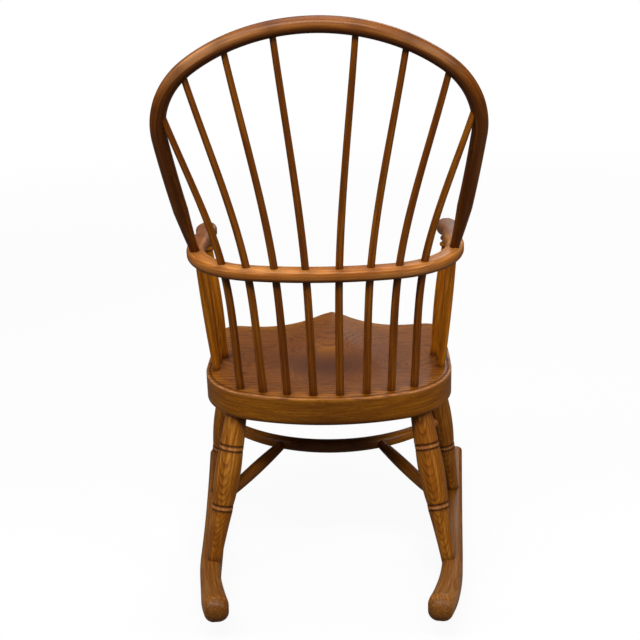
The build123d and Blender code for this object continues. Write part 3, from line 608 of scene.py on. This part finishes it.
def underSeat(spot, side):
    # the point of the seat's underside that lies at (x, y) in the room
    flatY = (spot[1] + seat["thickness"] * seatPlane[3][1]) / seatPlane[2][1]
    point = onPlane(seatPlane, (0, flatY, -seat["thickness"]))
    return np.array([side * spot[0], spot[1], point[2]])


def onRocker(spot, side):
    # the point of the rocker's top at (x, y): z = radius - sqrt((radius - depth)^2 - (y - low)^2)
    top = rockers["radius"] - rockers["depth"]
    return np.array([side * spot[0], spot[1],
                     rockers["radius"] - math.sqrt(top ** 2 - (spot[1] - rockers["low"]) ** 2)])


legEnds = {(end, name): (onRocker(legs["feet"][end], side), underSeat(legs["tops"][end], side))
           for end in ("front", "rear") for name, side in sides.items()}
barEnds = [*stickEnds.values(), *sideEnds.values(), *postEnds.values()]

# the seat's mesh


def oval(flat, x, y, wide, long):
    # 1 at (x, y), falling as exp(-(across / wide)^2 - (along / long)^2)
    return bell(flat[..., 0] - x, wide) * bell(flat[..., 1] - y, long)


rearSide = smooth((drops - 2.0) / 6.0) * behind
central = bell(flatRows[..., 0], seat["middleReach"])
# painted shade round the feet of the sticks and posts, with some grime, in the scribed line, over the middle
# of the back face, darker towards the bottom, and under the board; and one small dark spot
seatShadeAndGrime = strongest(
    nearness(seatPoints, [ends[0] for ends in barEnds], 10.0) * 0.9, scribe,
    oval(flatRows, *seat["darkSpot"]) * 0.8,
    rearSide * central * (seat["middleShade"] + smooth((drops - 30.0) / 26.0) * seat["lowShade"]),
    smooth((drops - 40.0) / 26.0) * seat["underShade"])
# the rounded rear arris is painted lighter: partly wear and partly a painted highlight
arrisWearAndSheen = np.zeros(drops.shape)
arrisWearAndSheen[roundRows] = np.array(seat["arrisWearAndSheen"])[:, None]
polish = np.zeros(drops.shape)
polish[topRows] = np.linspace(1, 0.3, topRows.stop)[:, None] ** 0.6
polish[rimRows] = np.append(np.linspace(0.28, 0.0, 10), [0, 0])[:, None]
polish = polish * (1 - 0.85 * oval(flatRows, *seat["palePatch"])) * smooth((flatRows[..., 1] + 335.0) / 90.0)
# the figure follows the ovals and the cut of the saddle; round the back the rings run level along the edge
figure = sum(height * oval(flatRows, *place) for *place, height in seat["ovals"])
cut = drops + np.maximum(drops - seat["sideFrom"], 0) * (seat["sideRings"] - 1)
level = flatRows[..., 1] + (seat["back"] - flatRows[..., 1]) * rearSide * 0.95
seatGrain = np.stack([level, figure - cut, flatRows[..., 0]], -1)
makePiece("saddledSeat", seatPoints, seatGrain, "seat", "seat_elm", grime=seatShadeAndGrime, wear=polish,
          edge=arrisWearAndSheen * behind * (1 - 0.85 * central), calm=rearSide * seat["sideCalm"])
print("seat made")

# the arm bow

distances = np.unique(np.concatenate([np.arange(0, railLength - handLength, 5.0),
                                      railLength - handLength + handEdge[::6, 0], [railLength]]))
distance, centre, side, up = bowLine(armPlane, arm["back"], railBends, distances)
fromTip = railLength - np.abs(distance)
halfWide = np.interp(np.abs(distance) - railLength + handLength, handEdge[:, 0], handEdge[:, 1])
# the tip is rounded over as the long edges are: high = thickness / 2 - r + sqrt(r^2 - (r - fromTip)^2)
tipRound = arm["edgeRound"]
halfHigh = arm["thickness"] / 2 - tipRound + np.sqrt(np.maximum(
    tipRound ** 2 - np.maximum(tipRound - fromTip, 0) ** 2, 0))
points, u, v = roundedSections(centre, side, up, halfWide, halfHigh, np.full(len(distance), tipRound), 28)
railJoints = [ends[1] for ends in barEnds] + [onPlane(hoopPlane, (way * footX, 0)) for way in sides.values()]
# painted shade round the joints, with some grime, and along the underside
railShadeAndGrime = strongest(nearness(points, railJoints, arm["jointReach"]) * arm["jointShadeAndGrime"],
                      smooth((2.5 - v) / 10.0) * arm["underShade"])
handled = smooth((arm["handledFrom"] - fromTip) / arm["handledOver"])[:, None] * smooth((v + 4.0) / 10.0)
makePiece("armBow", points, grainOf(u, v, distance, arm["cutAt"]), "arm_bow", "arm_ash",
          grime=railShadeAndGrime, wear=handled)
print("arm bow made")

# the hoop

hoopRun = hoopBends + [(hoop["footSink"], 0.0)]
distances = np.linspace(0, lengthOf(hoopRun), 230)
distance, centre, side, up = bowLine(hoopPlane, hoop["rise"], hoopRun, distances)
fromFoot = hoopHalf - np.abs(distance)
taper = np.clip((fromFoot - hoop["footStraight"]) / (hoop["footTaper"] - hoop["footStraight"]), 0, 1)
radius = (hoop["footDiameter"] + (hoop["diameter"] - hoop["footDiameter"]) * taper) / 2
radius = radius - hoop["waver"] * (0.5 + 0.5 * np.sin(distance / hoop["waverLength"] + 0.7))
points, u, v = circles(centre, side, up, radius, 28)
outwards = (points - centre[:, None]) / radius[:, None, None]
# a painted highlight on the side of the hoop that faces back and up, strongest at the listed places along the
# crown
facing = smooth((outwards @ unit(np.array(hoop["sheenFacing"])) - 0.60) / 0.36)
paintedSheen = hoop["sheenAll"] + sum(strength * bell(distance - place, reach)
                              for place, reach, strength in hoop["sheenSpots"])
paintedSheen = facing * (paintedSheen * smooth((fromFoot - 300.0) / 160.0))[:, None]
hoopFeet = [onPlane(hoopPlane, (way * footX, 12.0)) for way in sides.values()]
joints = strongest(nearness(points, [ends[2] for ends in stickEnds.values()], 16.0),
                   nearness(points, hoopFeet, 14.0))
# painted shade round the joints, with some grime, and along the underside
hoopShadeAndGrime = strongest(joints * hoop["jointShadeAndGrime"],
                      smooth((0.05 - outwards[..., 2]) / 0.8) * hoop["underShade"])
makePiece("hoopBow", points, grainOf(u, v, distance, hoop["cutAt"]), "hoop", "back_ash",
          grime=hoopShadeAndGrime, edge=paintedSheen)
print("hoop made")

# the back sticks, each sprung through its hole in the arm bow

for index, ((name, number), (foot, rail, top)) in enumerate(stickEnds.items()):
    # two cubic spans whose bend agrees where they meet
    first, second = np.linalg.norm(rail - foot), np.linalg.norm(top - rail)
    whole = first + second
    share = first / whole
    leave, arrive = unit(rail - foot) * whole, unit(top - rail) * whole
    middle = (3 * ((rail - foot) / share ** 2 + (top - rail) / (1 - share) ** 2)
              - leave / share - arrive / (1 - share)) / (2 / share + 2 / (1 - share))
    at = np.linspace(0, 0.992, 110)[:, None]
    early = at < share
    t = np.where(early, at / share, (at - share) / (1 - share))
    span = np.where(early, share, 1 - share)
    a, b = np.where(early, foot, rail), np.where(early, rail, top)
    m, n = np.where(early, leave, middle) * span, np.where(early, middle, arrive) * span
    centre = ((2 * t ** 3 - 3 * t ** 2 + 1) * a + (t ** 3 - 2 * t ** 2 + t) * m
              + (3 * t ** 2 - 2 * t ** 3) * b + (t ** 3 - t ** 2) * n)
    sunk = foot - unit(rail - foot) * np.linspace(sticks["depth"], 4.0, 4)[:, None]
    centre = np.concatenate([sunk, centre])
    at = np.concatenate([np.zeros(len(sunk)), at[:, 0]])
    radius = np.interp(at, [0, share, 1], [sticks["footDiameter"], sticks["railDiameter"],
                                           sticks["topDiameter"]]) / 2
    radius = radius - sticks["waver"] * (0.5 + 0.5 * np.sin(at * sticks["waverTurns"] + index * 2.1))
    direction, distance = alongLine(centre)
    side, up = squareTo(direction, [1.0, 0, 0])
    points, u, v = circles(centre, side, up, radius, 18)
    # painted shade round the foot, the rail and the crown joints, with some grime
    joints = strongest(*[nearness(points, [end], reach)
                         for end, reach in zip((foot, rail, top), sticks["jointShadeReach"])])
    makePiece("backStick_%s_%d" % (name, number), points, grainOf(u, v, distance, nextCut(sticks, index)),
              "back_stick_%s_%d" % (name, number), "back_ash", grime=joints * sticks["grime"])
print("back sticks made")

# turned pieces: a radius for each height on a straight axis


def turnedPiece(name, node, slot, foot, top, heights, radius, cut, around, **marks):
    # circles square to the axis: centre = foot + direction * height
    direction = np.broadcast_to(unit(top - foot), (len(heights), 3))
    centre = foot + direction * heights[:, None]
    side, up = squareTo(direction, [1.0, 0.001, 0])
    points, u, v = circles(centre, side, up, radius, around)
    makePiece(name, points, grainOf(u, v, heights, cut), node, slot,
              **{mark: value[:, None] for mark, value in marks.items()})


for index, ((name, number), (foot, top)) in enumerate(sideEnds.items()):
    length = np.linalg.norm(top - foot)
    heights = np.concatenate([[-sideSticks["depth"]], np.linspace(-4, length - 6, 70)])
    low, high = sideSticks["straight"], length - sideSticks["straight"]
    diameter = threePointCurve(np.clip(heights, low, high), (
        (low, sideSticks["footDiameter"]), (length / 2, sideSticks["bellyDiameter"]),
        (high, sideSticks["endDiameter"])))
    # painted shade at both ends, with some grime
    joints = strongest(*[bell(heights - joint, sideSticks["jointShadeReach"]) for joint in (0, length - 12)])
    turnedPiece("sideStick_%s_%d" % (name, number), "side_stick_%s_%d" % (name, number), "stretcher_ash",
                foot, top, heights, diameter / 2, nextCut(sideSticks, index), 22, grime=joints * 0.7)

for index, (name, (foot, top)) in enumerate(postEnds.items()):
    length = np.linalg.norm(top - foot)
    upper, lower = [length - drop for drop in posts["beadDrops"]]
    half = posts["beadWidth"] / 2
    heights = np.unique(np.concatenate([[-posts["depth"]], np.linspace(-4, length - 6, 60),
                                        np.linspace(lower - 8, upper + 8, 90)]))
    diameter = threePointCurve(np.clip(heights, posts["footStraight"], lower - half), (
        (posts["footStraight"], posts["footDiameter"]), (posts["bellyHeight"], posts["bellyDiameter"]),
        (lower - half, posts["neckDiameter"])))
    for bead in (lower, upper):
        swell = np.sqrt(np.maximum(1 - ((heights - bead) / half) ** 2, 0))
        diameter = diameter + (posts["beadDiameter"] - posts["neckDiameter"]) * swell
    footReach, headReach = posts["jointShadeReach"]
    creases = (lower - half, (lower + upper) / 2, upper + half)
    # painted shade at both ends, with some grime, and in the creases by the beads
    joints = strongest(bell(heights, footReach), bell(length - 12 - heights, headReach),
                       *[bell(heights - crease, posts["creaseReach"]) for crease in creases])
    turnedPiece("armPost_" + name, "arm_post_" + name, "stretcher_ash",
                foot, top, heights, diameter / 2, nextCut(posts, index), 32, grime=joints * 0.8)

for index, ((end, name), (foot, top)) in enumerate(legEnds.items()):
    length = np.linalg.norm(top - foot)
    low, high = legs["ringHeights"]
    lowWide, highWide = legs["ringDiameters"]
    reach = legs["ringWidth"] / 2 + legs["grooveWidth"]
    heights = np.unique(np.round(np.concatenate([
        np.linspace(-legs["footSink"], length + legs["headSink"], 76),
        *[np.linspace(ring - reach - 1, ring + reach + 1, 44) for ring in (low, high)]]), 3))
    # a calf below the low ring, a belly between the rings, and a straight taper to the head
    calf = (legs["footDiameter"] + lowWide) / 2 - legs["calfWaist"]
    below = threePointCurve(heights, ((-2, legs["footDiameter"]), (low / 2, calf), (low - reach, lowWide)))
    between = threePointCurve(heights, ((low + reach, lowWide), ((low + high) / 2, legs["bellyDiameter"]),
                                        (high - reach, highWide)))
    above = highWide + (legs["headDiameter"] - highWide) * (heights - high - reach) / (
        length + legs["headDiameter"] / 2 - high - reach)
    diameter = np.select(
        [heights < low - reach, heights < low + reach, heights < high - reach, heights < high + reach],
        [below, lowWide, between, highWide], above)
    footReach, headReach = legs["jointShadeReach"]
    # painted shade at the foot and the head, with some grime, and in the grooves beside the beads
    grime = strongest(bell(heights, footReach) * 0.6, bell(length - heights, headReach) * 0.8)
    # the beads are painted lighter: a painted highlight
    beadHighlight = np.zeros(len(heights))
    for ring in (low, high):
        beadHighlight = strongest(beadHighlight, smooth(1.2 - np.abs(heights - ring) / 2.6))
        for groove in (ring - reach + legs["grooveWidth"] / 2, ring + reach - legs["grooveWidth"] / 2):
            away = np.abs(heights - groove) / legs["grooveWidth"]
            hollow = 0.5 + 0.5 * np.cos(np.pi * np.minimum(2 * away, 1))
            diameter = diameter - 2 * legs["grooveDepth"] * hollow
            grime = strongest(grime, smooth(1.5 - away * 1.4) * legs["grooveShade"])
    turnedPiece("turnedLeg_%s_%s" % (end, name), "%s_leg_%s" % (end, name), "turned_ash",
                foot, top, heights, diameter / 2, nextCut(legs, index), 56,
                grime=grime, edge=beadHighlight * legs["beadHighlightStrength"])
print("turned pieces made")

# the crinoline stretcher and its spurs

stretchers = {
    "legHeight": 0.56, "bow": 118.0, "fall": 8.0, "diameter": 28.0, "endDiameter": 21.0, "swell": 1.5,
    # painted shade along the bow, and painted light on its ends
    "bowShade": 0.7, "bowEndLight": 0.35, "bowCut": (19, 4, 60),
    "spurShare": 0.315, "spurLegHeight": 0.415, "spurDiameter": 25.0, "spurEnd": 17.0,
    # painted shade on the spurs, stronger at their joints
    "spurShade": 0.78, "spurJointShadeAndGrime": 0.85, "cutAt": (9, 21, 0), "cutStep": (53, 0, 90),
}


def upLeg(end, name, share):
    # the place at a share of the way up a leg
    foot, top = legEnds[end, name]
    return foot + (top - foot) * share


bowEnds = {name: upLeg("front", name, stretchers["legHeight"]) for name in sides}
bow = np.array([0, bowEnds["left"][1] + stretchers["bow"], bowEnds["left"][2] - stretchers["fall"]])
halfSpan = bowEnds["left"][0]
rise = bow - bowEnds["left"] * [0, 1, 1]
sag = np.linalg.norm(rise)
bendRadius = (halfSpan ** 2 + sag ** 2) / (2 * sag)
opening = math.asin(halfSpan / bendRadius)


def onCrinoline(share):
    # share 0 at the right leg, 1 at the left: an arc in the plane of the ends and the middle
    angle = (np.atleast_1d(share) * 2 - 1) * opening
    return (bow + np.array([1.0, 0, 0]) * bendRadius * np.sin(angle)[:, None]
            - unit(rise) * bendRadius * (1 - np.cos(angle))[:, None])


share = np.linspace(0, 1, 130)
centre = onCrinoline(share)
direction, distance = alongLine(centre)
side, up = squareTo(direction, unit(rise))
quarter = (stretchers["diameter"] + stretchers["endDiameter"]) / 2 + stretchers["swell"]
radius = threePointCurve(np.minimum(share, 1 - share), (
    (0, stretchers["endDiameter"]), (0.25, quarter), (0.5, stretchers["diameter"]))) / 2
points, u, v = circles(centre, side, up, radius, 28)
spurStarts = [onCrinoline(1 - stretchers["spurShare"])[0], onCrinoline(stretchers["spurShare"])[0]]
fromMiddle = np.abs(share - 0.5)[:, None]
# painted shade at the joints with the legs and spurs, with some grime, and a painted shadow of the seat over
# the middle
grime = strongest(nearness(points, spurStarts, 18.0), nearness(points, list(bowEnds.values()), 14.0),
                  smooth((0.32 - fromMiddle) / 0.2) * 1.3)
# painted light on the two ends
makePiece("crinolineStretcher", points, grainOf(u, v, distance, stretchers["bowCut"]), "crinoline_stretcher",
          "stretcher_ash", grime=grime * stretchers["bowShade"],
          edge=smooth((fromMiddle - 0.28) / 0.16) * stretchers["bowEndLight"])

for index, (name, start) in enumerate(zip(sides, spurStarts)):
    end = upLeg("rear", name, stretchers["spurLegHeight"])
    length = np.linalg.norm(end - start)
    heights = np.linspace(4, length - 6, 60)
    diameter = threePointCurve(heights, ((0, stretchers["spurEnd"]), (length / 2, stretchers["spurDiameter"]),
                                         (length, stretchers["spurEnd"])))
    # the spurs are painted dark all along, as the seat's shadow, and darker at their joints
    joints = strongest(bell(heights - 13, 8.0), bell(length - 22 - heights, 9.0))
    grime = np.maximum(joints * stretchers["spurJointShadeAndGrime"], stretchers["spurShade"])
    turnedPiece("stretcherSpur_" + name, "stretcher_spur_" + name, "stretcher_ash",
                start, end, heights, diameter / 2, nextCut(stretchers, index), 28, grime=grime)
print("stretchers made")

# the rockers: straight in plan to bendStart and then drawn in on an arc, and an arc in side view

frontX = legs["feet"]["front"][0] + rockers["frontOffset"]
rearX = legs["feet"]["rear"][0] + rockers["rearOffset"]
frontY, rearY = legs["feet"]["front"][1], legs["feet"]["rear"][1]
slant = math.atan2(rearX - frontX, rearY - frontY)
whole = 2 * (rockers["halfLength"] - rockers["endDraw"])
tip = np.linspace(0, 1, 22) ** 1.6 * 26.0
along = np.concatenate([tip, np.linspace(30, whole - 30, 124), whole - tip[::-1]])
y = along - whole / 2
straightX = frontX + math.tan(slant) * (np.minimum(y, rockers["bendStart"]) - frontY)
past = np.maximum(y - rockers["bendStart"], 0)
turn = np.arcsin(past / rockers["tailRadius"] - math.sin(slant)) + slant
x = straightX - np.where(past > 0, rockers["tailRadius"] * (math.cos(slant) - np.cos(turn - slant)), 0)
middleRadius = rockers["radius"] - rockers["depth"] / 2
z = rockers["radius"] - np.sqrt(middleRadius ** 2 - (y - rockers["low"]) ** 2)
fromEnd = np.minimum(along, whole - along)
tail = smooth((y - rockers["tailFrom"]) / rockers["tailOver"])
wide = (rockers["width"] - 0.3 + (rockers["tailWidth"] - rockers["width"]) * tail) / 2
noseHigh = np.clip(1 - fromEnd / rockers["noseLength"], 0, 1)
noseWide = np.clip(1 - fromEnd / rockers["noseSide"], 0, 1)
high = rockers["depth"] / 2 * np.sqrt(1 - noseHigh ** 2.3) + 0.02
wide = wide * np.sqrt(1 - noseWide ** 2.3 * 0.9)
edge = rockers["edgeRound"] + tail * 7.0
# a painted highlight along the tops of the tails, carried on the wear mark
tailTopShare = smooth((y - rockers["tailTopFrom"]) / rockers["tailTopOver"]) * smooth((fromEnd - 16.0) / 24.0)
for index, (name, way) in enumerate(sides.items()):
    centre = np.stack([way * x, y, z], -1)
    direction, distance = alongLine(centre)
    side, up = squareTo(direction, [1.0, 0, 0])
    points, u, v = roundedSections(centre, side, up, wide, high, edge, 40)
    # painted shade round the leg joints, with some grime, and along the underside; the ends are painted
    # darker
    grime = strongest(nearness(points, [legEnds[end, name][0] for end in ("front", "rear")],
                               rockers["jointReach"]) * rockers["jointShadeAndGrime"],
                      smooth((-v - 14.0) / 10.0) * rockers["underShade"],
                      smooth((20.0 - fromEnd) / 16.0)[:, None] * rockers["endDarkening"])
    tailTopHighlight = smooth((v - 8.0) / 12.0) * tailTopShare[:, None]
    makePiece("rockerBoard_" + name, points, grainOf(u, v, distance, nextCut(rockers, index)),
              "rocker_" + name, "rocker_ash", grime=grime, wear=tailTopHighlight)
print("rockers made")

# the pegs and wedges keep their solids and take their own finish

for node in ("rocker_pegs", "hoop_wedges"):
    solid = bpy.data.objects[node]
    for materialSlot in solid.material_slots:
        materialSlot.material = finishes["peg_oak"]
    if not solid.material_slots:
        solid.data.materials.append(finishes["peg_oak"])

# floor, light and camera

studio = {
    "floor": (0.84, 0.84, 0.84), "bounce": (0.10, 0.10, 0.10), "floorReach": 60.0, "floorSink": 0.0005,
    "glowNear": 0.92, "glowFade": (1.2, 5.0), "world": 0.09, "mirrored": 0.06,
    # lamps as (place, wide, deep, power)
    "lamps": {"top": ((0.2, -0.5, 3.1), 1.6, 1.6, 26.0), "strip": ((0.35, 2.0, 3.0), 3.4, 0.5, 94.0),
              "front": ((-1.0, -2.6, 2.3), 1.5, 1.5, 26.0), "left": ((2.6, 1.6, 2.3), 1.2, 1.2, 17.0),
              "right": ((-2.6, 1.8, 2.2), 1.2, 1.2, 39.0)},
    "yaw": 0.042068, "pitch": 0.328423, "roll": -0.027624, "from": (-0.08135, 2.26645, 1.27787),
    "lens": 69.58, "sensor": 36.0, "aim": (0.0, 0.0, 0.5),
}


def backdropRays(tree):
    # 1 for camera rays, which see the white backdrop, and less for what a waxed surface mirrors
    path = tree.node("ShaderNodeLightPath")
    direct, off, through = [Wire(tree.tree, path.socket.node.outputs[name])
                            for name in ("Is Camera Ray", "Is Glossy Ray", "Is Transmission Ray")]
    return path.sum("MINIMUM", direct + (off + through) * studio["mirrored"], 1.0)


def lookAt(place, aim):
    # axes right, up and back: back = unit(place - aim), right = unit(world up x back), up = back x right
    back = unit(np.array(place, float) - np.array(aim, float))
    right = unit(np.cross([0.0, 0, 1], back))
    return np.stack([right, np.cross(back, right), back], 1)


def putIn(name, data, axes=None, place=None):
    # a new object at the origin, or at a place with its axes as the columns of its matrix
    thing = bpy.data.objects.new(name, data)
    bpy.context.scene.collection.objects.link(thing)
    if axes is not None:
        matrix = np.eye(4)
        matrix[:3, :3], matrix[:3, 3] = axes, place
        thing.matrix_world = Matrix(matrix.tolist())
    return thing


floorMesh = bpy.data.meshes.new("studioFloor")
corners = [(across * studio["floorReach"], back * studio["floorReach"], -studio["floorSink"])
           for across, back in ((-1, -1), (1, -1), (1, 1), (-1, 1))]
floorMesh.from_pydata(corners, [], [(0, 1, 2, 3)])
paper, tree = newFinish("palePaper")
seen = backdropRays(tree)
tint = tree.node("ShaderNodeMix", {"data_type": "RGBA"},
                 {0: seen, 6: (*studio["bounce"], 1.0), 7: (*studio["floor"], 1.0)}, 2)
matt = tree.node("ShaderNodeBsdfDiffuse", {}, {"Color": tint})
glow = tree.node("ShaderNodeEmission", {}, {"Color": (1, 1, 1, 1), "Strength": 1.0})
place = tree.node("ShaderNodeTexCoord", {}, {}, 3)
away = tree.node("ShaderNodeVectorMath", {"operation": "LENGTH"}, {0: place}, 1)
glowing = away.step(*studio["glowFade"]) * (1.0 - studio["glowNear"]) + studio["glowNear"]
both = tree.node("ShaderNodeMixShader", {}, {0: seen * glowing, 1: matt, 2: glow})
tree.node("ShaderNodeOutputMaterial", {}, {"Surface": both})
floorMesh.materials.append(paper)
putIn("studioFloor", floorMesh)

world = bpy.data.worlds.new("studioLight")
world.use_nodes = True
bpy.context.scene.world = world
world.node_tree.nodes.clear()
tree = Wire(world.node_tree)
strength = backdropRays(tree) * (1.0 - studio["world"]) + studio["world"]
sky = tree.node("ShaderNodeBackground", {}, {"Color": (1, 1, 1, 1), "Strength": strength})
tree.node("ShaderNodeOutputWorld", {}, {"Surface": sky})

for name, (place, wide, deep, power) in studio["lamps"].items():
    lamp = bpy.data.lights.new(name + "Lamp", "AREA")
    lamp.shape, lamp.size, lamp.size_y, lamp.energy = "RECTANGLE", wide, deep, power
    putIn(name + "Lamp", lamp, lookAt(place, studio["aim"]), place)


def spin(first, second, angle):
    # two axes turned in their own plane: cos * first + sin * second, and cos * second - sin * first
    return (math.cos(angle) * first + math.sin(angle) * second,
            math.cos(angle) * second - math.sin(angle) * first)


# the camera looks forwards along -Y, turned by yaw, dipped by pitch and rolled
right, ahead, upright = np.array([[-1.0, 0, 0], [0, -1, 0], [0, 0, 1]])
right, ahead = spin(right, ahead, studio["yaw"])
ahead, upright = spin(ahead, upright, -studio["pitch"])
right, upright = spin(right, upright, studio["roll"])
camera = bpy.data.cameras.new("photoCamera")
camera.lens, camera.sensor_width = studio["lens"], studio["sensor"]
bpy.context.scene.camera = putIn("photoCamera", camera, np.stack([right, upright, -ahead], 1), studio["from"])
bpy.context.scene.view_settings.view_transform = "Standard"
print("studio made")
